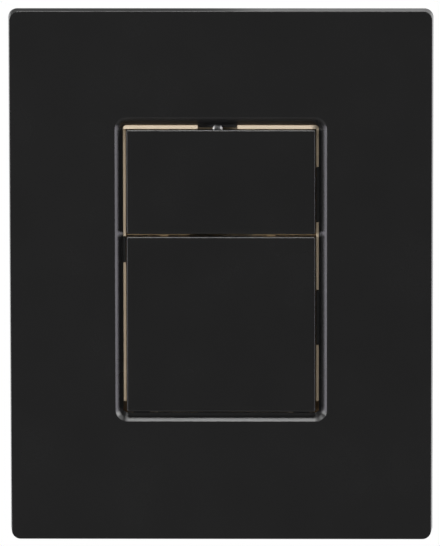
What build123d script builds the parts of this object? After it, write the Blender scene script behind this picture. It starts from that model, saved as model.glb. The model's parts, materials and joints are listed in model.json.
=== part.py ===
from build123d import *
import os
from math import cos, radians, sin, sqrt

# Wall flush plate with a small and a full flush button, and the carrier, push rods and
# fixings behind them. Millimetres: X is right and Z up seen from the front, Y runs into
# the wall. The origin is the middle of the plate's rim, in the plane of the wall.
# Depths are counted from the plate's front face towards the wall.

# Front plate: a shell open at the back, with sides that flare towards the wall
PLATE_W = 156.0
PLATE_H = 197.0
PLATE_T = 8.0
PLATE_CORNER_R = 3.3
PLATE_EDGE_R = 0.25
PLATE_FLARE = 0.55
PLATE_SKIN = 2.9
RIM_WALL = 2.2
RIM_INNER_R = 1.5
RIB_T = 1.2
RIB_PITCH = 27.0
RIB_COLUMNS = 5
RIB_ROWS = 7
RIB_SINK = 0.2

# Window with its bevelled lip
WINDOW_W = 72.0
WINDOW_H = 107.5
WINDOW_Z = 2.45
WINDOW_CORNER_R = 1.4
LIP_WIDTH = 3.0
LIP_DEPTH = 2.5
LIP_EDGE_R = 0.3

# Buttons, with their gaps to the window and to each other
SIDE_GAP = 1.3
TOP_GAP = 1.75
SPLIT_GAP = 1.15
BOTTOM_GAP = 0.6
SMALL_H = 38.6
BUTTON_SKIN = 2.2
BUTTON_WALL = 1.6
BUTTON_DEPTH = 6.0
BUTTON_CORNER_R = 0.6
BUTTON_EDGE_R = 0.6
BUTTON_RIB_T = 1.2
BUTTON_RIB_DEPTH = 4.4
BUTTON_RIB_X = 16.5
BUTTON_RIB_DROP = 6.5
PAD_R = 4.0
PAD_DEPTH = 6.2
PAD_DOME_R = 8.0

# Hinges: an ear of the carrier between two lugs of the button, on a steel pin.
# The hinges and the lock stand a little left of the plate's middle.
FITTINGS_X = -1.2
HINGE_DEPTH = 4.8
HINGE_DROP = 2.5
PIN_R = 1.0
PIN_CHAMFER = 0.25
PIN_GRIP = 0.02
PIN_PLAY = 0.06
EAR_X = 19.65
EAR_W = 3.0
EAR_R = 2.0
LUG_W = 3.4
LUG_R = 2.2
LUG_PLAY = 0.3
HINGE_SPAN = 54.0
SMALL_SWING = 8.0
FULL_SWING = 6.0

# Stop legs at the free edge of each button, caught in slots of the carrier
LEG_X = 29.5
LEG_W = 6.0
LEG_DEPTH = 10.0
LEG_CATCH_DEPTH = 8.4
LEG_GRIP = 1.2
LEG_RAMP = 0.8
SLOT_PLAY = 0.4
CATCH_PLAY = 0.3

# Carrier: a tray with a collar that shows round the buttons
COLLAR_PLAY = 0.3
COLLAR_FIT = 0.1
COLLAR_DEPTH = 2.5
COLLAR_TOP_DEPTH = 1.2
COLLAR_END_RISE = 4.3
COLLAR_SLOPE = 2.4
TRAY_WALL = 2.0
TRAY_DROP = 2.2
TRAY_DEPTH = 17.0
TRAY_FLOOR = 2.0
TRAY_CORNER_R = 2.0
FLANGE_FRONT = 3.0
FLANGE_T = 2.4
FLANGE_W = 9.5
FLANGE_CORNER_R = 4.0
BAR_T = 0.3
BAR_DROP = 0.6
BAR_FRONT = 3.2
BAR_GAP_W = 23.0
BAR_WALL_T = 1.0
BAR_WALL_FRONT = 7.2
FLOOR_WINDOW_W = 16.0
FLOOR_WINDOW_X = 22.0
FLOOR_WINDOW_MARGIN = 9.0

# Snap hooks of the plate, on the sides of the window
RIGHT_HOOK_W = 20.0
RIGHT_HOOK_ZS = (30.2, -15.7)
LEFT_HOOK_W = 9.3
LEFT_HOOK_Z = 9.7
HOOK_T = 1.8
HOOK_PLAY = 0.1
HOOK_NOTCH = 0.3
HOOK_REACH = 1.2
HOOK_BARB = 0.7
HOOK_RAMP = 1.4

# Locking screw through a tab of the plate
TAB_W = 14.0
TAB_T = 2.0
TAB_DEPTH = 3.9
TAB_END_RISE = 0.7
TAB_ROOT = 2.0
TAB_CORNER_R = 0.5
TAB_PLAY = 0.3
LOCK_DROP = 0.15
LOCK_R = 1.2
LOCK_LENGTH = 9.0
LOCK_HEAD_R = 1.9
LOCK_HEAD_H = 1.3
LOCK_HOLE_PLAY = 0.15
LOCK_BOSS_DROP = 4.0
SCREW_GRIP = 0.02
SCREW_POINT = 0.8
DRIVE_W = 0.5
DRIVE_DEPTH = 0.6

# Push rods, one behind the other in line with the middle of the buttons
SMALL_ROD_ARM = 28.0
FULL_ROD_ARM = 45.0
ROD_R = 3.0
ROD_LENGTH = 41.5
ROD_PLAY = 0.08
ROD_TIP_R = 2.5
ROD_TIP_LENGTH = 12.0
ROD_TIP_CHAMFER = 0.6
HEAD_R = 6.0
HEAD_T = 2.5
HEAD_COVER = 2.0
HEAD_CHAMFER = 0.8
HUB_R = 4.0
HUB_LENGTH = 4.0
PUSH_GAP = 0.25
CUP_R = 6.6
CUP_WALL = 1.6
CUP_DEPTH = 5.0
GUIDE_WALL = 2.0
GUIDE_LENGTH = 10.0
SPRING_R = 4.75
SPRING_WIRE_R = 0.4
WIRE_SIDES = 6
SPRING_TURNS = 5.0
SPRING_GAP = 0.2
CLIP_R = 5.0
CLIP_T = 0.7
CLIP_MOUTH = 3.2
GROOVE_R = 2.4
GROOVE_W = 0.8

# Rubber stop pads on posts of the tray floor
STOP_X = 20.0
STOP_RISE = 2.6
STOP_R = 2.2
STOP_T = 1.5
STOP_STEM_R = 1.0
STOP_STEM = 2.0
STOP_PLAY = 0.3
POST_R = 3.0

# Mounting frame on the wall, inside the plate's rim
FRAME_SIDE_MARGIN = 5.8
FRAME_END_MARGIN = 7.3
FRAME_T = 2.6
FRAME_CORNER_R = 6.0
FRAME_PLAY = 2.0
FRAME_RIM = 2.0
FRAME_RIM_DEPTH = 6.0
FRAME_WINDOW_W = 84.0
FRAME_WINDOW_H = 12.0
FRAME_WINDOW_GAP = 6.0

# Carrier screws
CARRIER_SCREW_INSET = 4.6
CARRIER_SCREW_R = 1.5
CARRIER_SCREW_HEAD_R = 2.7
CARRIER_SCREW_HEAD_H = 1.5
CARRIER_SCREW_LENGTH = 9.5
CARRIER_SCREW_PLAY = 0.2
SCREW_BOSS_R = 3.6
SCREW_BOSS_DEPTH = 8.0

# Wall fixings
STUD_SPACING = 104.0
STUD_R = 3.0
STUD_LENGTH = 52.0
STUD_CHAMFER = 0.8
STUD_THREAD_R = 2.5
STUD_THREAD_LENGTH = 13.0
NUT_R = 7.0
NUT_T = 5.0
NUT_GRIP = 0.02
NUT_SCALLOPS = 8
NUT_SCALLOP_R = 1.0
POCKET_R = 8.4
POCKET_WALL = 1.8
POCKET_DEPTH = 5.6
POCKET_FLOOR = 2.0
STUD_SLOT_LENGTH = 11.0
STUD_SLOT_PLAY = 0.3

# Places that follow from the sizes above
WINDOW_TOP = WINDOW_Z + WINDOW_H / 2
WINDOW_BOTTOM = WINDOW_Z - WINDOW_H / 2
BUTTON_W = WINDOW_W - 2 * SIDE_GAP
SMALL_TOP = WINDOW_TOP - TOP_GAP
SMALL_BOTTOM = SMALL_TOP - SMALL_H
FULL_TOP = SMALL_BOTTOM - SPLIT_GAP
FULL_BOTTOM = WINDOW_BOTTOM + BOTTOM_GAP
FULL_H = FULL_TOP - FULL_BOTTOM
SMALL_AXIS_Z = SMALL_TOP - HINGE_DROP
FULL_AXIS_Z = FULL_TOP - HINGE_DROP
SMALL_ROD_Z = SMALL_AXIS_Z - SMALL_ROD_ARM
FULL_ROD_Z = FULL_AXIS_Z - FULL_ROD_ARM

TRAY_W = BUTTON_W + 2 * COLLAR_PLAY
TRAY_TOP = SMALL_TOP + COLLAR_PLAY
TRAY_BOTTOM = FULL_BOTTOM - TRAY_DROP
TRAY_BACK = TRAY_DEPTH + TRAY_FLOOR
BAR_TOP = SMALL_BOTTOM - BAR_DROP
FLANGE_BACK = FLANGE_FRONT + FLANGE_T
CUP_SEAT = TRAY_DEPTH + CUP_DEPTH
CUP_BACK = CUP_SEAT + TRAY_FLOOR
GUIDE_BACK = CUP_BACK + GUIDE_LENGTH

LOCK_Z = SMALL_TOP - LOCK_DROP
TAB_BACK = TAB_DEPTH + TAB_T
HOOK_IN_X = TRAY_W / 2 + HOOK_PLAY
HOOK_OUT_X = HOOK_IN_X + HOOK_T
HOOK_END = FLANGE_BACK + HOOK_PLAY + HOOK_BARB + HOOK_RAMP
HOOKS = [(1, z, RIGHT_HOOK_W) for z in RIGHT_HOOK_ZS] + [(-1, LEFT_HOOK_Z, LEFT_HOOK_W)]

HEAD_FRONT = PAD_DEPTH + PUSH_GAP
HEAD_BACK = HEAD_FRONT + HEAD_T
HUB_BACK = HEAD_BACK + HUB_LENGTH
ROD_FRONT = HEAD_FRONT + HEAD_COVER
ROD_BACK = ROD_FRONT + ROD_LENGTH
GROOVE_FRONT = GUIDE_BACK + CATCH_PLAY

FRAME_W = PLATE_W - 2 * (RIM_WALL + FRAME_SIDE_MARGIN)
FRAME_H = PLATE_H - 2 * (RIM_WALL + FRAME_END_MARGIN)
FRAME_FRONT = FLANGE_BACK
FRAME_BACK = FRAME_FRONT + FRAME_T
FRAME_OPEN_W = TRAY_W + 2 * TRAY_WALL + 2 * FRAME_PLAY
FRAME_OPEN_TOP = TRAY_TOP + TRAY_WALL + FRAME_PLAY
FRAME_OPEN_BOTTOM = TRAY_BOTTOM - TRAY_WALL - FRAME_PLAY
CARRIER_SCREW_X = TRAY_W / 2 + TRAY_WALL + FLANGE_W - CARRIER_SCREW_INSET
CARRIER_SCREW_ZS = (
    TRAY_TOP + TRAY_WALL + FLANGE_W - CARRIER_SCREW_INSET,
    TRAY_BOTTOM - TRAY_WALL - FLANGE_W + CARRIER_SCREW_INSET,
)
NUT_BACK = FRAME_FRONT + POCKET_DEPTH
NUT_FRONT = NUT_BACK - NUT_T
STUD_SHOULDER = NUT_FRONT + STUD_THREAD_LENGTH
BOTH_SIDES = (-1, 1)
EAR_XS = [FITTINGS_X + side * EAR_X for side in BOTH_SIDES]
STOP_XS = [side * STOP_X for side in BOTH_SIDES]


def y_at(depth):
    """Y of a depth behind the front face."""
    return depth - PLATE_T


def behind(depth):
    """Upright plane at a depth; extruding from it goes towards the front."""
    return Plane.XZ.offset(PLATE_T - depth)


def across(x):
    """Side plane at x, with Y across and Z up; extruding from it goes towards +X."""
    return Plane.YZ.offset(x)


def side_points(points):
    """Corners on a side plane from (depth, z) pairs."""
    return [(y_at(depth), z) for depth, z in points]


def turned(profile, x, z):
    """A piece turned about an axis into the wall, from (depth, radius) corners."""
    with BuildPart() as piece:
        with BuildSketch(across(x)):
            with BuildLine():
                Polyline(*side_points([(depth, z + r) for depth, r in profile]), close=True)
            make_face()
        revolve(axis=Axis((x, 0, z), (0, 1, 0)))
    return piece


def hinge_lugs():
    """Left edges of the four hinge lugs of a button, two beside each ear."""
    reach = EAR_W / 2 + LUG_PLAY
    return [x + edge for x in EAR_XS for edge in (-reach - LUG_W, reach)]


def landing_depth(swing, height):
    """Depth that a button's lower back edge reaches at the end of its swing."""
    arm = height - HINGE_DROP
    return HINGE_DEPTH + (BUTTON_DEPTH - HINGE_DEPTH) * cos(radians(swing)) + arm * sin(radians(swing))


STOPS = [
    (SMALL_BOTTOM + STOP_RISE, landing_depth(SMALL_SWING, SMALL_H) + STOP_PLAY),
    (FULL_BOTTOM + STOP_RISE, landing_depth(FULL_SWING, FULL_H) + STOP_PLAY),
]

# Front plate
with BuildPart() as front_plate:
    # Shell with a rim that meets the wall
    with BuildSketch(behind(PLATE_T)):
        RectangleRounded(PLATE_W, PLATE_H, PLATE_CORNER_R)
    with BuildSketch(behind(0)):
        RectangleRounded(PLATE_W - 2 * PLATE_FLARE, PLATE_H, PLATE_CORNER_R)
    loft()
    fillet(front_plate.faces().sort_by(Axis.Y)[0].edges(), PLATE_EDGE_R)
    with BuildSketch(behind(PLATE_T)):
        RectangleRounded(PLATE_W - 2 * RIM_WALL, PLATE_H - 2 * RIM_WALL, RIM_INNER_R)
    extrude(amount=PLATE_T - PLATE_SKIN, mode=Mode.SUBTRACT)

    # Window, bevelled all round, with a soft outer edge
    with BuildSketch(behind(PLATE_SKIN)):
        with Locations((0, WINDOW_Z)):
            RectangleRounded(WINDOW_W, WINDOW_H, WINDOW_CORNER_R)
    extrude(amount=PLATE_SKIN, mode=Mode.SUBTRACT)
    face = front_plate.faces().sort_by(Axis.Y)[0]
    chamfer(face.inner_wires()[0].edges(), LIP_WIDTH, LIP_DEPTH, reference=face)
    face = front_plate.faces().sort_by(Axis.Y)[0]
    fillet(face.inner_wires()[0].edges(), LIP_EDGE_R)

    # Stiffening ribs behind the skin: a ring round the carrier and short ribs to the rim
    ring_w = TRAY_W + 2 * (TRAY_WALL + FLANGE_W + 2 * RIB_T)
    ring_h = TRAY_TOP - TRAY_BOTTOM + 2 * (TRAY_WALL + FLANGE_W + 2 * RIB_T)
    ring_z = (TRAY_TOP + TRAY_BOTTOM) / 2
    with BuildSketch(behind(FLANGE_BACK)):
        with GridLocations(RIB_PITCH, 0, RIB_COLUMNS, 1):
            Rectangle(RIB_T, PLATE_H - RIM_WALL)
        with GridLocations(0, RIB_PITCH, 1, RIB_ROWS):
            Rectangle(PLATE_W - RIM_WALL, RIB_T)
        with Locations((0, ring_z)):
            Rectangle(ring_w, ring_h)
            Rectangle(ring_w - 2 * RIB_T, ring_h - 2 * RIB_T, mode=Mode.SUBTRACT)
    extrude(amount=FLANGE_BACK - PLATE_SKIN + RIB_SINK)

    # Snap hooks on the sides of the window
    for side, hook_z, hook_w in HOOKS:
        barb_x = HOOK_OUT_X + HOOK_NOTCH + HOOK_REACH
        barb_depth = FLANGE_BACK + HOOK_PLAY
        hook = [
            (HOOK_IN_X, COLLAR_DEPTH),
            (HOOK_IN_X, HOOK_END),
            (HOOK_OUT_X - HOOK_T / 2, HOOK_END),
            (barb_x, barb_depth + HOOK_BARB),
            (barb_x, barb_depth),
            (HOOK_OUT_X, barb_depth),
            (HOOK_OUT_X, COLLAR_DEPTH),
        ]
        with BuildSketch(Plane.XY.offset(hook_z - hook_w / 2)):
            with BuildLine():
                Polyline(*[(side * x, y_at(depth)) for x, depth in hook], close=True)
            make_face()
        extrude(amount=hook_w)

    # Tab that hangs from the skin above the window, notched for the locking screw
    tab_end = LOCK_Z + TAB_END_RISE
    tab_web = LOCK_Z + LOCK_HEAD_R + TAB_PLAY
    tab_root = tab_web + TAB_ROOT
    with BuildSketch(behind(TAB_BACK)) as tongue:
        with Locations((FITTINGS_X, tab_end)):
            Rectangle(TAB_W, tab_root - tab_end, align=(Align.CENTER, Align.MIN))
        fillet(tongue.vertices().group_by(Axis.Y)[0], TAB_CORNER_R)
        with Locations((FITTINGS_X, LOCK_Z)):
            Circle(LOCK_R + LOCK_HOLE_PLAY, mode=Mode.SUBTRACT)
    extrude(amount=TAB_T)
    with BuildSketch(behind(TAB_DEPTH)):
        with Locations((FITTINGS_X, tab_web)):
            Rectangle(TAB_W, TAB_ROOT, align=(Align.CENTER, Align.MIN))
    extrude(amount=TAB_DEPTH - PLATE_SKIN + RIB_SINK)


def flush_button(top, height, rod_z, catch_z):
    """A button shell with hinge lugs at its top edge and stop legs at its lower edge."""
    middle = top - height / 2
    bottom = top - height
    axis_z = top - HINGE_DROP
    hole = (y_at(HINGE_DEPTH), axis_z)
    with BuildPart() as button:
        # Face and walls
        with BuildSketch(behind(BUTTON_DEPTH)):
            with Locations((0, middle)):
                RectangleRounded(BUTTON_W, height, BUTTON_CORNER_R)
        extrude(amount=BUTTON_DEPTH)
        fillet(button.faces().sort_by(Axis.Y)[0].edges(), BUTTON_EDGE_R)
        with BuildSketch(behind(BUTTON_DEPTH)):
            with Locations((0, middle)):
                Rectangle(BUTTON_W - 2 * BUTTON_WALL, height - 2 * BUTTON_WALL)
        extrude(amount=BUTTON_DEPTH - BUTTON_SKIN, mode=Mode.SUBTRACT)

        # The top wall is low, and open where the hinge and the tab are
        with BuildSketch(behind(BUTTON_DEPTH)):
            with Locations((0, top - BUTTON_WALL / 2)):
                Rectangle(BUTTON_W, BUTTON_WALL)
        extrude(amount=BUTTON_DEPTH - HINGE_DEPTH, mode=Mode.SUBTRACT)
        with BuildSketch(behind(HINGE_DEPTH)):
            with Locations((0, top - BUTTON_WALL / 2)):
                Rectangle(HINGE_SPAN, BUTTON_WALL)
        extrude(amount=HINGE_DEPTH - BUTTON_SKIN, mode=Mode.SUBTRACT)

        # Ribs and the pad that presses the rod
        rib_top = axis_z - BUTTON_RIB_DROP
        with BuildSketch(behind(BUTTON_RIB_DEPTH)):
            with Locations((0, rib_top), (0, rod_z)):
                Rectangle(BUTTON_W - BUTTON_WALL, BUTTON_RIB_T)
            with Locations((-BUTTON_RIB_X, bottom), (0, bottom), (BUTTON_RIB_X, bottom)):
                Rectangle(BUTTON_RIB_T, rib_top - bottom, align=(Align.CENTER, Align.MIN))
        extrude(amount=BUTTON_RIB_DEPTH - BUTTON_SKIN + RIB_SINK)
        pad_root = y_at(BUTTON_SKIN - RIB_SINK)
        pad_edge = y_at(PAD_DEPTH - PAD_DOME_R + sqrt(PAD_DOME_R**2 - PAD_R**2))
        pad_tip = (y_at(PAD_DEPTH), rod_z)
        with BuildSketch(across(0)):
            with BuildLine():
                Polyline((pad_edge, rod_z + PAD_R), (pad_root, rod_z + PAD_R), (pad_root, rod_z), pad_tip)
                RadiusArc(pad_tip, (pad_edge, rod_z + PAD_R), -PAD_DOME_R)
            make_face()
        revolve(axis=Axis((0, 0, rod_z), (0, 1, 0)))

        # Hinge lugs
        lug_reach = HINGE_DEPTH - BUTTON_SKIN + RIB_SINK
        for lug_x in hinge_lugs():
            with BuildSketch(across(lug_x)):
                with Locations(hole):
                    Circle(LUG_R)
                    Rectangle(lug_reach, 2 * LUG_R, align=(Align.MAX, Align.CENTER))
                    Circle(PIN_R + PIN_PLAY, mode=Mode.SUBTRACT)
            extrude(amount=LUG_W)

        # Stop legs
        catch_end = catch_z - LEG_GRIP
        leg = [
            (BUTTON_DEPTH - RIB_SINK, bottom),
            (LEG_CATCH_DEPTH, bottom),
            (LEG_CATCH_DEPTH, catch_end),
            (LEG_CATCH_DEPTH + LEG_RAMP, catch_end),
            (LEG_DEPTH, bottom),
            (LEG_DEPTH, bottom + BUTTON_WALL),
            (BUTTON_DEPTH - RIB_SINK, bottom + BUTTON_WALL),
        ]
        for side in BOTH_SIDES:
            with BuildSketch(across(side * LEG_X - LEG_W / 2)):
                with BuildLine():
                    Polyline(*side_points(leg), close=True)
                make_face()
            extrude(amount=LEG_W)
    return button


small_flush_button = flush_button(SMALL_TOP, SMALL_H, SMALL_ROD_Z, BAR_TOP)
full_flush_button = flush_button(FULL_TOP, FULL_H, FULL_ROD_Z, TRAY_BOTTOM)

# Button carrier
with BuildPart() as button_carrier:
    tray_h = TRAY_TOP - TRAY_BOTTOM
    tray_z = (TRAY_TOP + TRAY_BOTTOM) / 2

    # Tray, flange and collar as solid blocks, then the hollow
    with BuildSketch(behind(TRAY_BACK)):
        with Locations((0, tray_z)):
            RectangleRounded(TRAY_W + 2 * TRAY_WALL, tray_h + 2 * TRAY_WALL, TRAY_CORNER_R)
    extrude(amount=TRAY_BACK - FLANGE_FRONT)
    with BuildSketch(behind(FLANGE_BACK)):
        with Locations((0, tray_z)):
            edge = 2 * (TRAY_WALL + FLANGE_W)
            RectangleRounded(TRAY_W + edge, tray_h + edge, FLANGE_CORNER_R)
    extrude(amount=FLANGE_T)
    collar_w = WINDOW_W - 2 * COLLAR_FIT
    collar_top = WINDOW_TOP - COLLAR_FIT
    collar_end = WINDOW_BOTTOM + COLLAR_END_RISE
    with BuildSketch(behind(FLANGE_FRONT)) as collar:
        with Locations((0, collar_end)):
            Rectangle(collar_w, collar_top - collar_end, align=(Align.CENTER, Align.MIN))
        fillet(collar.vertices().group_by(Axis.Y)[-1], WINDOW_CORNER_R)
    extrude(amount=FLANGE_FRONT - COLLAR_TOP_DEPTH)
    with BuildSketch(behind(COLLAR_DEPTH)):
        with Locations((0, collar_end)):
            Rectangle(collar_w, TRAY_TOP - collar_end, align=(Align.CENTER, Align.MIN))
    extrude(amount=COLLAR_DEPTH - COLLAR_TOP_DEPTH, mode=Mode.SUBTRACT)
    slope = [
        (collar_w / 2 - COLLAR_SLOPE, COLLAR_TOP_DEPTH),
        (collar_w / 2, COLLAR_TOP_DEPTH),
        (collar_w / 2, COLLAR_DEPTH),
    ]
    with BuildSketch(Plane.XY.offset(TRAY_TOP)):
        with BuildLine():
            Polyline(*[(x, y_at(depth)) for x, depth in slope], close=True)
        make_face()
    extrude(amount=collar_top - TRAY_TOP, mode=Mode.SUBTRACT)
    with BuildSketch(behind(TRAY_DEPTH)):
        with Locations((0, tray_z)):
            Rectangle(TRAY_W, tray_h)
    extrude(amount=TRAY_DEPTH, mode=Mode.SUBTRACT)

    # Side walls below the collar stand back, out of sight of the window
    for side in BOTH_SIDES:
        with BuildSketch(behind(LEG_CATCH_DEPTH)):
            with Locations((side * (TRAY_W + collar_w) / 4, TRAY_BOTTOM)):
                Rectangle(SIDE_GAP, collar_end - TRAY_BOTTOM, align=(Align.CENTER, Align.MIN))
        extrude(amount=LEG_CATCH_DEPTH - FLANGE_FRONT, mode=Mode.SUBTRACT)

    # Bar between the buttons, thin in front and open in the middle
    bar = [
        (BAR_FRONT, BAR_TOP),
        (TRAY_DEPTH, BAR_TOP),
        (TRAY_DEPTH, BAR_TOP - BAR_WALL_T),
        (BAR_WALL_FRONT, BAR_TOP - BAR_WALL_T),
        (BAR_WALL_FRONT, BAR_TOP - BAR_T),
        (BAR_FRONT, BAR_TOP - BAR_T),
    ]
    with BuildSketch(across(-TRAY_W / 2)):
        with BuildLine():
            Polyline(*side_points(bar), close=True)
        make_face()
    extrude(amount=TRAY_W)
    with BuildSketch(behind(TRAY_DEPTH)):
        with Locations((0, BAR_TOP)):
            Rectangle(BAR_GAP_W, BAR_WALL_T, align=(Align.CENTER, Align.MAX))
    extrude(amount=TRAY_DEPTH - BAR_FRONT, mode=Mode.SUBTRACT)

    # Hinge ears with their pin holes
    ear_length = TRAY_DEPTH - HINGE_DEPTH
    for axis_z, ear_top in ((SMALL_AXIS_Z, TRAY_TOP), (FULL_AXIS_Z, BAR_TOP)):
        for ear_x in EAR_XS:
            with BuildSketch(across(ear_x - EAR_W / 2)):
                with Locations((y_at(HINGE_DEPTH), axis_z)):
                    Circle(EAR_R)
                with Locations((y_at(HINGE_DEPTH), axis_z - EAR_R)):
                    Rectangle(ear_length, ear_top - axis_z + EAR_R, align=(Align.MIN, Align.MIN))
                with Locations((y_at(HINGE_DEPTH), axis_z)):
                    Rectangle(EAR_R, ear_top - axis_z, align=(Align.MAX, Align.MIN))
                    Circle(PIN_R + PIN_GRIP, mode=Mode.SUBTRACT)
            extrude(amount=EAR_W)

    # Boss behind the locking tab, and the room for the tab
    with BuildSketch(behind(TRAY_DEPTH)):
        with Locations((FITTINGS_X, LOCK_Z - LOCK_BOSS_DROP)):
            Rectangle(TAB_W, TRAY_TOP - LOCK_Z + LOCK_BOSS_DROP, align=(Align.CENTER, Align.MIN))
    extrude(amount=TRAY_DEPTH - TAB_BACK)
    tab_room = tab_root + TAB_PLAY - TRAY_TOP
    with BuildSketch(behind(TAB_BACK)):
        with Locations((FITTINGS_X, TRAY_TOP)):
            Rectangle(TAB_W + 2 * TAB_PLAY, tab_room, align=(Align.CENTER, Align.MIN))
    extrude(amount=TAB_BACK, mode=Mode.SUBTRACT)
    with BuildSketch(behind(TAB_BACK + LOCK_LENGTH)):
        with Locations((FITTINGS_X, LOCK_Z)):
            Circle(LOCK_R + SCREW_GRIP)
    extrude(amount=LOCK_LENGTH, mode=Mode.SUBTRACT)

    # Notches for the snap hooks
    for side, hook_z, hook_w in HOOKS:
        notch_w = HOOK_OUT_X + HOOK_NOTCH - TRAY_W / 2
        with BuildSketch(behind(HOOK_END + HOOK_PLAY)):
            with Locations((side * (TRAY_W / 2 + notch_w / 2), hook_z)):
                Rectangle(notch_w, hook_w + 2 * HOOK_NOTCH)
        extrude(amount=HOOK_END + HOOK_PLAY, mode=Mode.SUBTRACT)

    # Slots that catch the stop legs
    catch_front = LEG_CATCH_DEPTH - CATCH_PLAY
    for slot_z, slot_t in ((BAR_TOP, BAR_WALL_T), (TRAY_BOTTOM, TRAY_WALL)):
        for side in BOTH_SIDES:
            with BuildSketch(behind(TRAY_DEPTH)):
                with Locations((side * LEG_X, slot_z)):
                    Rectangle(LEG_W + 2 * SLOT_PLAY, slot_t, align=(Align.CENTER, Align.MAX))
            extrude(amount=TRAY_DEPTH - catch_front, mode=Mode.SUBTRACT)

    # Posts for the stop pads
    for stop_z, stop_front in STOPS:
        post_front = stop_front + STOP_T
        with BuildSketch(behind(TRAY_DEPTH)):
            with Locations([(x, stop_z) for x in STOP_XS]):
                Circle(POST_R)
        extrude(amount=TRAY_DEPTH - post_front)
        with BuildSketch(behind(post_front + STOP_STEM)):
            with Locations([(x, stop_z) for x in STOP_XS]):
                Circle(STOP_STEM_R + SCREW_GRIP)
        extrude(amount=STOP_STEM, mode=Mode.SUBTRACT)

    # Spring cups and rod guides behind the floor
    rods = [(0, SMALL_ROD_Z), (0, FULL_ROD_Z)]
    with BuildSketch(behind(CUP_BACK)):
        with Locations(rods):
            Circle(CUP_R + CUP_WALL)
    extrude(amount=CUP_BACK - TRAY_DEPTH)
    with BuildSketch(behind(GUIDE_BACK)):
        with Locations(rods):
            Circle(ROD_R + GUIDE_WALL)
    extrude(amount=GUIDE_LENGTH)
    with BuildSketch(behind(CUP_SEAT)):
        with Locations(rods):
            Circle(CUP_R)
    extrude(amount=CUP_DEPTH, mode=Mode.SUBTRACT)
    with BuildSketch(behind(GUIDE_BACK)):
        with Locations(rods):
            Circle(ROD_R + ROD_PLAY)
    extrude(amount=GUIDE_BACK - CUP_SEAT, mode=Mode.SUBTRACT)

    # Windows in the floor beside the rods
    for low, high in ((BAR_TOP, SMALL_AXIS_Z), (TRAY_BOTTOM, FULL_AXIS_Z)):
        with BuildSketch(behind(TRAY_BACK)):
            with Locations((-FLOOR_WINDOW_X, (low + high) / 2), (FLOOR_WINDOW_X, (low + high) / 2)):
                RectangleRounded(FLOOR_WINDOW_W, high - low - 2 * FLOOR_WINDOW_MARGIN, TRAY_CORNER_R)
        extrude(amount=TRAY_FLOOR, mode=Mode.SUBTRACT)

    # Countersunk holes for the screws into the mounting frame
    for side in BOTH_SIDES:
        for screw_z in CARRIER_SCREW_ZS:
            sink = turned(
                [
                    (FLANGE_FRONT, 0),
                    (FLANGE_FRONT, CARRIER_SCREW_HEAD_R),
                    (FLANGE_FRONT + CARRIER_SCREW_HEAD_H, CARRIER_SCREW_R + CARRIER_SCREW_PLAY),
                    (FLANGE_BACK, CARRIER_SCREW_R + CARRIER_SCREW_PLAY),
                    (FLANGE_BACK, 0),
                ],
                side * CARRIER_SCREW_X,
                screw_z,
            )
            add(sink.part, mode=Mode.SUBTRACT)


def hinge_pins(axis_z):
    """The two pins of a button, each through an ear and the lugs beside it."""
    length = EAR_W + 2 * (LUG_PLAY + LUG_W)
    with BuildPart() as pins:
        for ear_x in EAR_XS:
            with BuildSketch(across(ear_x - length / 2)):
                with Locations((y_at(HINGE_DEPTH), axis_z)):
                    Circle(PIN_R)
            extrude(amount=length)
        chamfer(pins.edges().filter_by(GeomType.CIRCLE), PIN_CHAMFER)
    return pins


small_button_pins = hinge_pins(SMALL_AXIS_Z)
full_button_pins = hinge_pins(FULL_AXIS_Z)


def push_rod(rod_z):
    """A rod with a groove for its clip and a thinner tip."""
    tip_end = ROD_BACK + ROD_TIP_LENGTH
    profile = [
        (ROD_FRONT, 0),
        (ROD_FRONT, ROD_R),
        (GROOVE_FRONT, ROD_R),
        (GROOVE_FRONT, GROOVE_R),
        (GROOVE_FRONT + GROOVE_W, GROOVE_R),
        (GROOVE_FRONT + GROOVE_W, ROD_R),
        (ROD_BACK, ROD_R),
        (ROD_BACK, ROD_TIP_R),
        (tip_end - ROD_TIP_CHAMFER, ROD_TIP_R),
        (tip_end, ROD_TIP_R - ROD_TIP_CHAMFER),
        (tip_end, 0),
    ]
    return turned(profile, 0, rod_z)


def rod_head(rod_z):
    """The round head that a button presses, screwed on the rod."""
    profile = [
        (HEAD_FRONT, 0),
        (HEAD_FRONT, HEAD_R - HEAD_CHAMFER),
        (HEAD_FRONT + HEAD_CHAMFER, HEAD_R),
        (HEAD_BACK, HEAD_R),
        (HEAD_BACK, HUB_R),
        (HUB_BACK, HUB_R),
        (HUB_BACK, ROD_R + SCREW_GRIP),
        (ROD_FRONT, ROD_R + SCREW_GRIP),
        (ROD_FRONT, 0),
    ]
    return turned(profile, 0, rod_z)


def rod_spring(rod_z):
    """A return spring with ground ends, from the cup's seat to the rod's head."""
    front = HEAD_BACK + SPRING_GAP
    length = CUP_SEAT - front
    with BuildPart() as spring:
        with BuildLine() as coil:
            Helix(length / SPRING_TURNS, length, SPRING_R, (0, y_at(front), rod_z), (0, 1, 0))
        with BuildSketch(Plane(coil.line @ 0, z_dir=coil.line % 0)):
            RegularPolygon(SPRING_WIRE_R, WIRE_SIDES)
        sweep(is_frenet=True)
        split(bisect_by=behind(front), keep=Keep.BOTTOM)
        split(bisect_by=behind(CUP_SEAT), keep=Keep.TOP)
    return spring


def rod_clip(rod_z):
    """A snap clip in the rod's groove, open at the bottom."""
    back = GROOVE_FRONT + (GROOVE_W + CLIP_T) / 2
    with BuildPart() as clip:
        with BuildSketch(behind(back)):
            with Locations((0, rod_z)):
                Circle(CLIP_R)
                Circle(GROOVE_R + SCREW_GRIP, mode=Mode.SUBTRACT)
                Rectangle(CLIP_MOUTH, CLIP_R, align=(Align.CENTER, Align.MAX), mode=Mode.SUBTRACT)
        extrude(amount=CLIP_T)
    return clip


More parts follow.
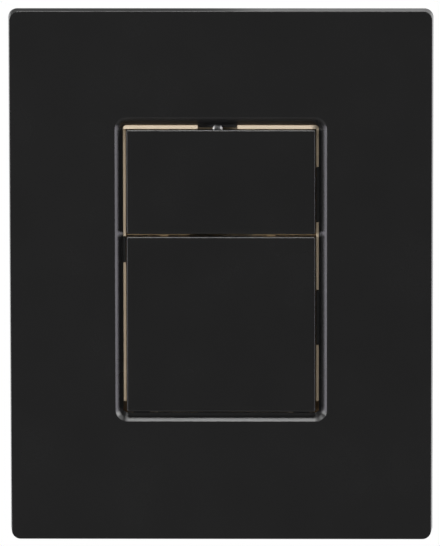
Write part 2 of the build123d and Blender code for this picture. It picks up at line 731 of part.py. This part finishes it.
small_push_rod = push_rod(SMALL_ROD_Z)
full_push_rod = push_rod(FULL_ROD_Z)
small_rod_head = rod_head(SMALL_ROD_Z)
full_rod_head = rod_head(FULL_ROD_Z)
small_rod_spring = rod_spring(SMALL_ROD_Z)
full_rod_spring = rod_spring(FULL_ROD_Z)
small_rod_clip = rod_clip(SMALL_ROD_Z)
full_rod_clip = rod_clip(FULL_ROD_Z)

# Rubber stop pads with stems in the posts
with BuildPart() as button_stop_pads:
    for stop_z, stop_front in STOPS:
        post_front = stop_front + STOP_T
        pad = [
            (stop_front, 0),
            (stop_front, STOP_R),
            (post_front, STOP_R),
            (post_front, STOP_STEM_R),
            (post_front + STOP_STEM, STOP_STEM_R),
            (post_front + STOP_STEM, 0),
        ]
        for stop_x in STOP_XS:
            add(turned(pad, stop_x, stop_z).part)

# Locking screw with a cross recess
lock_front = TAB_DEPTH - LOCK_HEAD_H
lock_end = TAB_BACK + LOCK_LENGTH
with BuildPart() as locking_screw:
    screw = [
        (lock_front, 0),
        (lock_front, LOCK_HEAD_R - LOCK_HEAD_H / 2),
        (lock_front + LOCK_HEAD_H / 2, LOCK_HEAD_R),
        (TAB_DEPTH, LOCK_HEAD_R),
        (TAB_DEPTH, LOCK_R),
        (lock_end - SCREW_POINT, LOCK_R),
        (lock_end, 0),
    ]
    add(turned(screw, FITTINGS_X, LOCK_Z).part)
    with BuildSketch(behind(lock_front + DRIVE_DEPTH)):
        with Locations((FITTINGS_X, LOCK_Z)):
            Rectangle(LOCK_HEAD_R, DRIVE_W)
            Rectangle(DRIVE_W, LOCK_HEAD_R)
    extrude(amount=DRIVE_DEPTH, mode=Mode.SUBTRACT)

# Countersunk slotted screws from the carrier into the mounting frame
with BuildPart() as carrier_screws:
    carrier_screw_end = FLANGE_FRONT + CARRIER_SCREW_LENGTH
    screw = [
        (FLANGE_FRONT, 0),
        (FLANGE_FRONT, CARRIER_SCREW_HEAD_R),
        (FLANGE_FRONT + CARRIER_SCREW_HEAD_H, CARRIER_SCREW_R),
        (carrier_screw_end - SCREW_POINT, CARRIER_SCREW_R),
        (carrier_screw_end, 0),
    ]
    for side in BOTH_SIDES:
        for screw_z in CARRIER_SCREW_ZS:
            add(turned(screw, side * CARRIER_SCREW_X, screw_z).part)
    with BuildSketch(behind(FLANGE_FRONT + DRIVE_DEPTH)):
        for side in BOTH_SIDES:
            for screw_z in CARRIER_SCREW_ZS:
                with Locations((side * CARRIER_SCREW_X, screw_z)):
                    Rectangle(CARRIER_SCREW_HEAD_R, DRIVE_W)
    extrude(amount=DRIVE_DEPTH, mode=Mode.SUBTRACT)

# Mounting frame
with BuildPart() as mounting_frame:
    open_h = FRAME_OPEN_TOP - FRAME_OPEN_BOTTOM
    open_z = (FRAME_OPEN_TOP + FRAME_OPEN_BOTTOM) / 2
    studs = [(side * STUD_SPACING / 2, 0) for side in BOTH_SIDES]
    screws = [(side * CARRIER_SCREW_X, z) for side in BOTH_SIDES for z in CARRIER_SCREW_ZS]

    # Flat frame, with a rim round the opening and bosses that reach into the wall
    with BuildSketch(behind(FRAME_BACK)):
        RectangleRounded(FRAME_W, FRAME_H, FRAME_CORNER_R)
    extrude(amount=FRAME_T)
    with BuildSketch(behind(FRAME_BACK + FRAME_RIM_DEPTH)):
        with Locations((0, open_z)):
            Rectangle(FRAME_OPEN_W + 2 * FRAME_RIM, open_h + 2 * FRAME_RIM)
    extrude(amount=FRAME_RIM_DEPTH)
    with BuildSketch(behind(FRAME_BACK + SCREW_BOSS_DEPTH)):
        with Locations(screws):
            Circle(SCREW_BOSS_R)
    extrude(amount=SCREW_BOSS_DEPTH)
    with BuildSketch(behind(NUT_BACK + POCKET_FLOOR)):
        with Locations(studs):
            Circle(POCKET_R + POCKET_WALL)
    extrude(amount=POCKET_DEPTH + POCKET_FLOOR)

    # Opening for the carrier
    with BuildSketch(behind(FRAME_BACK + SCREW_BOSS_DEPTH)):
        with Locations((0, open_z)):
            Rectangle(FRAME_OPEN_W, open_h)
    extrude(amount=SCREW_BOSS_DEPTH + FRAME_T, mode=Mode.SUBTRACT)

    # Nut pockets with a slot for each stud
    with BuildSketch(behind(NUT_BACK)):
        with Locations(studs):
            Circle(POCKET_R)
    extrude(amount=POCKET_DEPTH, mode=Mode.SUBTRACT)
    with BuildSketch(behind(NUT_BACK + POCKET_FLOOR)):
        with Locations(studs):
            SlotOverall(STUD_SLOT_LENGTH, 2 * (STUD_THREAD_R + STUD_SLOT_PLAY))
    extrude(amount=POCKET_FLOOR, mode=Mode.SUBTRACT)

    # Screw holes, and long windows above and below the opening
    with BuildSketch(behind(FRAME_BACK + SCREW_BOSS_DEPTH)):
        with Locations(screws):
            Circle(CARRIER_SCREW_R + SCREW_GRIP)
    extrude(amount=SCREW_BOSS_DEPTH + FRAME_T, mode=Mode.SUBTRACT)
    window_shift = FRAME_RIM + FRAME_WINDOW_GAP + FRAME_WINDOW_H / 2
    with BuildSketch(behind(FRAME_BACK)):
        with Locations((0, FRAME_OPEN_TOP + window_shift), (0, FRAME_OPEN_BOTTOM - window_shift)):
            RectangleRounded(FRAME_WINDOW_W, FRAME_WINDOW_H, FRAME_RIM)
    extrude(amount=FRAME_T, mode=Mode.SUBTRACT)


def fixing_stud(side):
    """A shouldered stud, threaded thinner in front for its nut."""
    end = STUD_SHOULDER + STUD_LENGTH
    profile = [
        (NUT_FRONT, 0),
        (NUT_FRONT, STUD_THREAD_R - STUD_CHAMFER),
        (NUT_FRONT + STUD_CHAMFER, STUD_THREAD_R),
        (STUD_SHOULDER, STUD_THREAD_R),
        (STUD_SHOULDER, STUD_R),
        (end - STUD_CHAMFER, STUD_R),
        (end, STUD_R - STUD_CHAMFER),
        (end, 0),
    ]
    return turned(profile, side * STUD_SPACING / 2, 0)


def thumb_nut(side):
    """A round nut with finger scallops."""
    with BuildPart() as nut:
        with BuildSketch(behind(NUT_BACK)):
            with Locations((side * STUD_SPACING / 2, 0)):
                Circle(NUT_R)
                with PolarLocations(NUT_R + NUT_SCALLOP_R / 2, NUT_SCALLOPS):
                    Circle(NUT_SCALLOP_R, mode=Mode.SUBTRACT)
                Circle(STUD_THREAD_R + NUT_GRIP, mode=Mode.SUBTRACT)
        extrude(amount=NUT_T)
    return nut


fixing_stud_left = fixing_stud(-1)
fixing_stud_right = fixing_stud(1)
thumb_nut_left = thumb_nut(-1)
thumb_nut_right = thumb_nut(1)

pieces = {
    "front_plate": front_plate,
    "small_flush_button": small_flush_button,
    "full_flush_button": full_flush_button,
    "button_carrier": button_carrier,
    "small_button_pins": small_button_pins,
    "full_button_pins": full_button_pins,
    "small_push_rod": small_push_rod,
    "full_push_rod": full_push_rod,
    "small_rod_head": small_rod_head,
    "full_rod_head": full_rod_head,
    "small_rod_spring": small_rod_spring,
    "full_rod_spring": full_rod_spring,
    "small_rod_clip": small_rod_clip,
    "full_rod_clip": full_rod_clip,
    "button_stop_pads": button_stop_pads,
    "locking_screw": locking_screw,
    "carrier_screws": carrier_screws,
    "mounting_frame": mounting_frame,
    "fixing_stud_left": fixing_stud_left,
    "fixing_stud_right": fixing_stud_right,
    "thumb_nut_left": thumb_nut_left,
    "thumb_nut_right": thumb_nut_right,
}
os.makedirs("parts", exist_ok=True)
for name, piece in pieces.items():
    piece.part.label = name
    export_step(piece.part, f"parts/{name}.step")
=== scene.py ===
import json
from math import cos, pi, radians, sin, tau

import bpy
from mathutils import Matrix, Vector


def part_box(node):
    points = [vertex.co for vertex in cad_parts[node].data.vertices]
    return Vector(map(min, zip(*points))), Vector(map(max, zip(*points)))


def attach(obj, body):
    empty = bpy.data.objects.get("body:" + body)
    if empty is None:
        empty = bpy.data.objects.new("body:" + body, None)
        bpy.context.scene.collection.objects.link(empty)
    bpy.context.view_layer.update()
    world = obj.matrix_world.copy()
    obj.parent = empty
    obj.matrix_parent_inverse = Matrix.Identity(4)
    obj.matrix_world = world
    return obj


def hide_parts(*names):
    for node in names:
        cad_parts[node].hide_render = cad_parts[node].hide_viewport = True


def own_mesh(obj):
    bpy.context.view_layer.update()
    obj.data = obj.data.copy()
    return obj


# Looks, light and camera for the flush button plate. Metres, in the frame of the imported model:
# X right and Z up seen from the front, Y into the wall.
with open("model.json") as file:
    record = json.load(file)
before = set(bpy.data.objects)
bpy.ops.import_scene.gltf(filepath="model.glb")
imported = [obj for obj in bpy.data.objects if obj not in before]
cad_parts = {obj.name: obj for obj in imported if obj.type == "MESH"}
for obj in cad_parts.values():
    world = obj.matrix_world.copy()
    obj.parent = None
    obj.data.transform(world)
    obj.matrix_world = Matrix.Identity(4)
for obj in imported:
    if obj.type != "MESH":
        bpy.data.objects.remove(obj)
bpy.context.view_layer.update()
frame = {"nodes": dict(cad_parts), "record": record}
nodes = frame["nodes"]
scene = bpy.context.scene
scene.view_settings.view_transform = "Standard"

# Camera of the photograph, for an image of 440 x 546 pixels
IMAGE_W = 440
FOCAL_PIXELS = 9068.0
SENSOR_MM = 36.0
AIM = Vector((-0.00035, -0.008, 0.00134))
CAMERA_DISTANCE = 3.3339
CAMERA_AZIMUTH = radians(0.794)
CAMERA_ELEVATION = radians(9.957)
CAMERA_ROLL = radians(-0.096)
CAMERA_REACH = 100.0

# Stage: an even, dim room. The floor is pale grey in front of the plate and is shown white behind it,
# from WHITE_FROM to WHITE_FULL along Y. FLOOR_FRONT is the white share that is left in front.
ROOM_GREY = 0.12
FLOOR_Z = -0.95
FLOOR_SIZE = 300.0
FLOOR_GREY = 0.42
FLOOR_ROUGH = 0.9
WHITE_FROM = 0.05
WHITE_FULL = 0.90
FLOOR_FRONT = 0.07

# Soft boxes, all turned to the plate: name, place, width, height, radiance and colour.
# box_left and box_right draw the window's side lines, box_top its lower line, and the corner boxes join
# them. box_key, box_fill and box_front light the cream in the gaps, box_back the back of the part, and
# card_back the right half of the top edge.
WHITE_TONE = (1, 1, 1)
SIDE_TONE = (1.0, 0.96, 1.07)
SOFT_BOXES = (
    ("box_left", (-1.36, -0.36, -0.30), 0.36, 0.62, 4.6, SIDE_TONE),
    ("box_key", (-1.65, -0.95, 0.23), 0.8, 0.5, 18.0, WHITE_TONE),
    ("box_fill", (1.78, -0.52, 0.48), 0.7, 0.9, 9.0, WHITE_TONE),
    ("box_front", (-1.12, -1.22, 0.95), 0.9, 0.5, 2.2, WHITE_TONE),
    ("box_corner_left", (-1.06, -0.40, 1.15), 0.6, 0.7, 4.5, WHITE_TONE),
    ("box_corner_right", (1.06, -0.40, 1.15), 0.6, 0.7, 3.2, WHITE_TONE),
    ("box_right", (1.36, -0.36, -0.30), 0.36, 0.62, 4.4, SIDE_TONE),
    ("box_top", (-0.1, -0.26, 1.31), 0.6, 0.42, 17.0, WHITE_TONE),
    ("box_back", (0, 1.0, 1.4), 1.4, 0.8, 2.2, WHITE_TONE),
    ("card_back", (0.155, 0.32, 0.156), 0.34, 0.14, 0.45, WHITE_TONE),
)

# Noise: the part of its span that is used, its roughness, and how many clouds or marks there are
NOISE_LOW = 0.3
NOISE_HIGH = 0.7
NOISE_ROUGH = 0.55
CLOUD_SCALE = 45.0
CLOUD_DETAIL = 3.0
GRAIN_DETAIL = 2.0
GRAIN_STRENGTH = 0.25
MARK_SCALE = 60.0
MARK_DETAIL = 3.0
MARK_STRETCH = (1, 25, 1)
MARK_STRENGTH = 0.2
MARK_DEPTH = 0.00003
EVEN = (1, 1, 1)

# Painted light and shade in narrow gaps: how far the shelter reaches, the open share from deep to free, and
# the painted tones there
RECESS_SAMPLES = 8
RECESS_REACH = 0.003
RECESS_DEEP = 0.40
RECESS_FREE = 0.70
# Painted light: the black plastic turns lighter in narrow gaps, where shade falls
BLACK_PAINTED_GAP_LIGHT = (0.045, 0.045, 0.045)
# Painted shade: the cream turns darker and more golden in narrow gaps
CREAM_PAINTED_GAP_SHADE = (0.55, 0.38, 0.21)

# Plastics by slot: name, two colours, least and most roughness, grain scale and depth, painted light or
# shade in gaps
PLASTICS = {
    "plate_black": (
        "plate_black_plastic", (0.0100,) * 3, (0.0108,) * 3, (0.24, 0.28), 2600.0, 0.00001, BLACK_PAINTED_GAP_LIGHT,
    ),
    "button_black": (
        "button_black_plastic", (0.0096,) * 3, (0.0104,) * 3, (0.24, 0.28), 2600.0, 0.00001, BLACK_PAINTED_GAP_LIGHT,
    ),
    "cream_plastic": (
        "cream_plastic", (0.82, 0.68, 0.50), (0.90, 0.76, 0.57), (0.42, 0.55), 1500.0, 0.00003, CREAM_PAINTED_GAP_SHADE,
    ),
    "white_plastic": (
        "white_plastic", (0.70, 0.69, 0.65), (0.78, 0.77, 0.73), (0.35, 0.48), 1500.0, 0.00003, None,
    ),
    "grey_plastic": (
        "grey_plastic", (0.30, 0.31, 0.32), (0.35, 0.36, 0.37), (0.42, 0.55), 1200.0, 0.00004, None,
    ),
    "rubber": ("rubber", (0.016,) * 3, (0.024,) * 3, (0.70, 0.85), 1800.0, 0.00005, None),
}

# Metals by slot: name, two colours, least and most roughness
METALS = {
    "steel": ("zinc_plated_steel", (0.42, 0.42, 0.42), (0.55, 0.55, 0.55), (0.34, 0.46)),
    "spring_steel": ("spring_wire", (0.36, 0.36, 0.37), (0.48, 0.48, 0.49), (0.25, 0.38)),
}

# Return springs: round wire with a closed, ground turn at each end
WIRE_R = 0.00038
WIRE_SIDES = 10
ACTIVE_TURNS = 4
TURN_STEPS = 36

# Fixing studs, threaded in front for the nut and at the back for the cistern
NUT_THREAD_LENGTH = 0.013
SHANK_LENGTH = 0.018
NUT_THREAD_R = 0.0025
STUD_R = 0.003
STUD_CHAMFER = 0.0008
NUT_PITCH = 0.0008
STUD_PITCH = 0.001
THREAD_DEPTH = 0.00032
THREAD_STEPS = 8
STUD_SIDES = 28


def place_camera():
    """The photograph's camera: nearly straight on, from a little above."""
    out = Vector((
        sin(CAMERA_AZIMUTH) * cos(CAMERA_ELEVATION),
        -cos(CAMERA_AZIMUTH) * cos(CAMERA_ELEVATION),
        sin(CAMERA_ELEVATION),
    ))
    right = (-out).cross(Vector((0, 0, 1))).normalized()
    up = right.cross(-out)
    rolled_right = right * cos(CAMERA_ROLL) + up * sin(CAMERA_ROLL)
    rolled_up = up * cos(CAMERA_ROLL) - right * sin(CAMERA_ROLL)
    turn = Matrix((rolled_right, rolled_up, out)).transposed().to_4x4()
    data = bpy.data.cameras.new("camera")
    data.sensor_fit = "HORIZONTAL"
    data.sensor_width = SENSOR_MM
    data.lens = SENSOR_MM * FOCAL_PIXELS / IMAGE_W
    data.clip_end = CAMERA_REACH
    camera = bpy.data.objects.new("camera", data)
    camera.matrix_world = Matrix.Translation(AIM + CAMERA_DISTANCE * out) @ turn
    scene.collection.objects.link(camera)
    scene.camera = camera


def new_material(name):
    """A node material, with its tree and its shader."""
    material = bpy.data.materials.new(name)
    material.use_nodes = True
    tree = material.node_tree
    return material, tree, tree.nodes["Principled BSDF"]


def noise(tree, scale, detail, stretch=EVEN):
    """Noise in the part's own metres, drawn out by stretch."""
    place = tree.nodes.new("ShaderNodeTexCoord")
    mapping = tree.nodes.new("ShaderNodeMapping")
    mapping.inputs["Scale"].default_value = stretch
    tree.links.new(place.outputs["Object"], mapping.inputs["Vector"])
    texture = tree.nodes.new("ShaderNodeTexNoise")
    texture.inputs["Scale"].default_value = scale
    texture.inputs["Detail"].default_value = detail
    texture.inputs["Roughness"].default_value = NOISE_ROUGH
    tree.links.new(mapping.outputs["Vector"], texture.inputs["Vector"])
    return texture.outputs["Fac"]


def ramp(tree, value, low, high):
    """The used part of a noise, spread over low to high."""
    spread = tree.nodes.new("ShaderNodeMapRange")
    spread.inputs["From Min"].default_value = NOISE_LOW
    spread.inputs["From Max"].default_value = NOISE_HIGH
    spread.inputs["To Min"].default_value = low
    spread.inputs["To Max"].default_value = high
    tree.links.new(value, spread.inputs["Value"])
    return spread.outputs["Result"]


def tint(tree, value, low, high):
    """The used part of a noise as a colour between two colours."""
    colours = tree.nodes.new("ShaderNodeValToRGB")
    first, last = colours.color_ramp.elements
    first.position, first.color = NOISE_LOW, (*low, 1)
    last.position, last.color = NOISE_HIGH, (*high, 1)
    tree.links.new(value, colours.inputs["Fac"])
    return colours.outputs["Color"]


def bump(tree, shader, value, strength, distance):
    """Relief from a value, distance in metres."""
    relief = tree.nodes.new("ShaderNodeBump")
    relief.inputs["Strength"].default_value = strength
    relief.inputs["Distance"].default_value = distance
    tree.links.new(value, relief.inputs["Height"])
    tree.links.new(relief.outputs["Normal"], shader.inputs["Normal"])


def paint_gap_light_and_shade(tree, open_colour, painted_gap_colour):
    """A colour that turns into a painted tone in narrow gaps, where shade falls: painted light for black
    plastic, painted shade for cream.
    """
    shelter = tree.nodes.new("ShaderNodeAmbientOcclusion")
    shelter.samples = RECESS_SAMPLES
    shelter.inputs["Distance"].default_value = RECESS_REACH
    share = tree.nodes.new("ShaderNodeMapRange")
    share.inputs["From Min"].default_value = RECESS_DEEP
    share.inputs["From Max"].default_value = RECESS_FREE
    tree.links.new(shelter.outputs["AO"], share.inputs["Value"])
    mix = tree.nodes.new("ShaderNodeMix")
    mix.data_type = "RGBA"
    mix.inputs["A"].default_value = (*painted_gap_colour, 1)
    tree.links.new(share.outputs["Result"], mix.inputs["Factor"])
    tree.links.new(open_colour, mix.inputs["B"])
    return mix.outputs["Result"]


def plastic(name, low, high, rough, grain, grain_depth, painted_gap_tone):
    """Moulded plastic: faint cloudiness, uneven gloss, a fine grain and, where a gap tone is given, painted
    light (black) or painted shade (cream) in narrow gaps.
    """
    material, tree, shader = new_material(name)
    clouds = noise(tree, CLOUD_SCALE, CLOUD_DETAIL)
    fine = noise(tree, grain, GRAIN_DETAIL)
    colour = tint(tree, clouds, low, high)
    # Painted light or shade in narrow gaps, by the gap tone of the slot
    if painted_gap_tone:
        colour = paint_gap_light_and_shade(tree, colour, painted_gap_tone)
    tree.links.new(colour, shader.inputs["Base Color"])
    tree.links.new(ramp(tree, clouds, *rough), shader.inputs["Roughness"])
    bump(tree, shader, fine, GRAIN_STRENGTH, grain_depth)
    return material


def metal(name, low, high, rough):
    """Plated or drawn metal with tool marks across its axis."""
    material, tree, shader = new_material(name)
    marks = noise(tree, MARK_SCALE, MARK_DETAIL, MARK_STRETCH)
    shader.inputs["Metallic"].default_value = 1.0
    tree.links.new(tint(tree, marks, low, high), shader.inputs["Base Color"])
    tree.links.new(ramp(tree, marks, *rough), shader.inputs["Roughness"])
    bump(tree, shader, marks, MARK_STRENGTH, MARK_DEPTH)
    return material


def area_light(name, place, width, height, radiance, colour):
    """A soft box of a given brightness, turned to the plate."""
    data = bpy.data.lights.new(name, "AREA")
    data.color = colour
    data.shape = "RECTANGLE"
    data.size = width
    data.size_y = height
    data.energy = radiance * pi * width * height
    lamp = bpy.data.objects.new(name, data)
    lamp.location = place
    lamp.rotation_euler = (-Vector(place)).to_track_quat("-Z", "Y").to_euler()
    scene.collection.objects.link(lamp)


def white_share(tree):
    """The share of white in the floor, from a little in front of the plate to all of it behind."""
    place = tree.nodes.new("ShaderNodeTexCoord")
    axes = tree.nodes.new("ShaderNodeSeparateXYZ")
    tree.links.new(place.outputs["Object"], axes.inputs["Vector"])
    level = tree.nodes.new("ShaderNodeMapRange")
    level.interpolation_type = "SMOOTHSTEP"
    level.inputs["From Min"].default_value = WHITE_FROM
    level.inputs["From Max"].default_value = WHITE_FULL
    level.inputs["To Min"].default_value = FLOOR_FRONT
    level.inputs["To Max"].default_value = 1
    tree.links.new(axes.outputs["Y"], level.inputs["Value"])
    return level.outputs["Result"]


def joined(tree, operation, first, second):
    """Two values in one, by a maths operation."""
    node = tree.nodes.new("ShaderNodeMath")
    node.operation = operation
    tree.links.new(first, node.inputs[0])
    tree.links.new(second, node.inputs[1])
    return node.outputs["Value"]


def lay_floor():
    """A pale floor, shown white behind the plate and plain pale grey in front of it."""
    bpy.ops.mesh.primitive_plane_add(size=FLOOR_SIZE, location=(0, 0, FLOOR_Z))
    floor = bpy.context.object
    floor.name = "floor"
    material, tree, shader = new_material("floor_pale")
    shader.inputs["Base Color"].default_value = (FLOOR_GREY, FLOOR_GREY, FLOOR_GREY, 1)
    shader.inputs["Roughness"].default_value = FLOOR_ROUGH
    shader.inputs["Specular IOR Level"].default_value = 0.0
    path = tree.nodes.new("ShaderNodeLightPath")
    seen = joined(tree, "MAXIMUM", path.outputs["Is Camera Ray"], path.outputs["Is Glossy Ray"])
    seen = joined(tree, "MAXIMUM", seen, path.outputs["Is Transmission Ray"])
    share = joined(tree, "MULTIPLY", seen, white_share(tree))
    glow = tree.nodes.new("ShaderNodeEmission")
    mix = tree.nodes.new("ShaderNodeMixShader")
    tree.links.new(share, mix.inputs["Fac"])
    tree.links.new(shader.outputs["BSDF"], mix.inputs[1])
    tree.links.new(glow.outputs["Emission"], mix.inputs[2])
    tree.links.new(mix.outputs["Shader"], tree.nodes["Material Output"].inputs["Surface"])
    floor.data.materials.append(material)


def light_stage():
    """Soft boxes at the sides, above and behind, in a dim room."""
    world = bpy.data.worlds.new("room")
    world.use_nodes = True
    sky = world.node_tree.nodes["Background"]
    sky.inputs["Color"].default_value = (ROOM_GREY, ROOM_GREY, ROOM_GREY, 1)
    scene.world = world
    for box in SOFT_BOXES:
        area_light(*box)


def add_mesh(name, points, faces, node, slot):
    """A smooth mesh that stands for a CAD node of the housing."""
    mesh = bpy.data.meshes.new(name)
    mesh.from_pydata(points, [], faces)
    mesh.shade_smooth()
    piece = bpy.data.objects.new(name, mesh)
    scene.collection.objects.link(piece)
    piece.data.materials.append(finishes[slot])
    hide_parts(node)
    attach(piece, "housing")
    return piece


def tube_faces(rings, sides):
    """Quads between rings of points, closed at both ends."""
    quads = [
        (i * sides + k, i * sides + (k + 1) % sides, (i + 1) * sides + (k + 1) % sides, (i + 1) * sides + k)
        for i in range(rings - 1)
        for k in range(sides)
    ]
    return quads + [tuple(range(sides))[::-1], tuple((rings - 1) * sides + k for k in range(sides))]


def coil_spring(name, node):
    """A wire coil in the place of the plain one."""
    low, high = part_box(node)
    middle = (low + high) / 2
    coil_r = (high.x - low.x) / 2 - WIRE_R
    wire = 2 * WIRE_R
    free = high.y - low.y - 2 * wire
    turns = ACTIVE_TURNS + 2
    rings = turns * TURN_STEPS + 1
    points = []
    for i in range(rings):
        turn = i / TURN_STEPS
        if turn < 1:
            along = low.y + wire * turn
        elif turn > turns - 1:
            along = high.y - wire * (turns - turn)
        else:
            along = low.y + wire + free * (turn - 1) / ACTIVE_TURNS
        for k in range(WIRE_SIDES):
            round_wire = tau * k / WIRE_SIDES
            r = coil_r + WIRE_R * cos(round_wire)
            y = min(max(along + WIRE_R * sin(round_wire), low.y), high.y)
            points.append((middle.x + r * cos(tau * turn), y, middle.z + r * sin(tau * turn)))
    piece = add_mesh(name, points, tube_faces(rings, WIRE_SIDES), node, "spring_steel")
    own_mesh(piece)


def thread_rings(start, end, radius, pitch):
    """(y, radius, thread depth, pitch) of the rings of a screw thread, cut deeper from plain ends."""
    count = round((end - start) / pitch * THREAD_STEPS)
    rings = []
    for i in range(count + 1):
        y = start + (end - start) * i / count
        runout = min((y - start) / pitch, (end - y) / pitch, 1)
        rings.append((y, radius, THREAD_DEPTH * runout, pitch))
    return rings


def fixing_stud(name, node):
    """A stud with a thread in front for its nut and one at the back for the cistern."""
    low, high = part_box(node)
    middle = (low + high) / 2
    shoulder = low.y + NUT_THREAD_LENGTH
    rings = [(low.y, NUT_THREAD_R - STUD_CHAMFER, 0, NUT_PITCH)]
    rings += thread_rings(low.y + STUD_CHAMFER, shoulder, NUT_THREAD_R, NUT_PITCH)
    rings += [(shoulder, STUD_R, 0, STUD_PITCH)]
    rings += thread_rings(shoulder + SHANK_LENGTH, high.y - STUD_CHAMFER, STUD_R, STUD_PITCH)
    rings += [(high.y, STUD_R - STUD_CHAMFER, 0, STUD_PITCH)]
    points = []
    for y, radius, depth, pitch in rings:
        for k in range(STUD_SIDES):
            phase = (y / pitch - k / STUD_SIDES) % 1
            r = radius - depth * abs(2 * phase - 1)
            turn = tau * k / STUD_SIDES
            points.append((middle.x + r * cos(turn), y, middle.z + r * sin(turn)))
    add_mesh(name, points, tube_faces(len(rings), STUD_SIDES), node, "steel")


place_camera()
lay_floor()
light_stage()

finishes = {slot: plastic(*looks) for slot, looks in PLASTICS.items()}
finishes |= {slot: metal(*looks) for slot, looks in METALS.items()}
for entry in frame["record"]["subparts"]:
    node = nodes[entry["node"]]
    for held in node.material_slots:
        held.material = finishes[entry["material_slot"]]

coil_spring("small_spring_wire", "small_rod_spring")
coil_spring("full_spring_wire", "full_rod_spring")
fixing_stud("stud_thread_left", "fixing_stud_left")
fixing_stud("stud_thread_right", "fixing_stud_right")
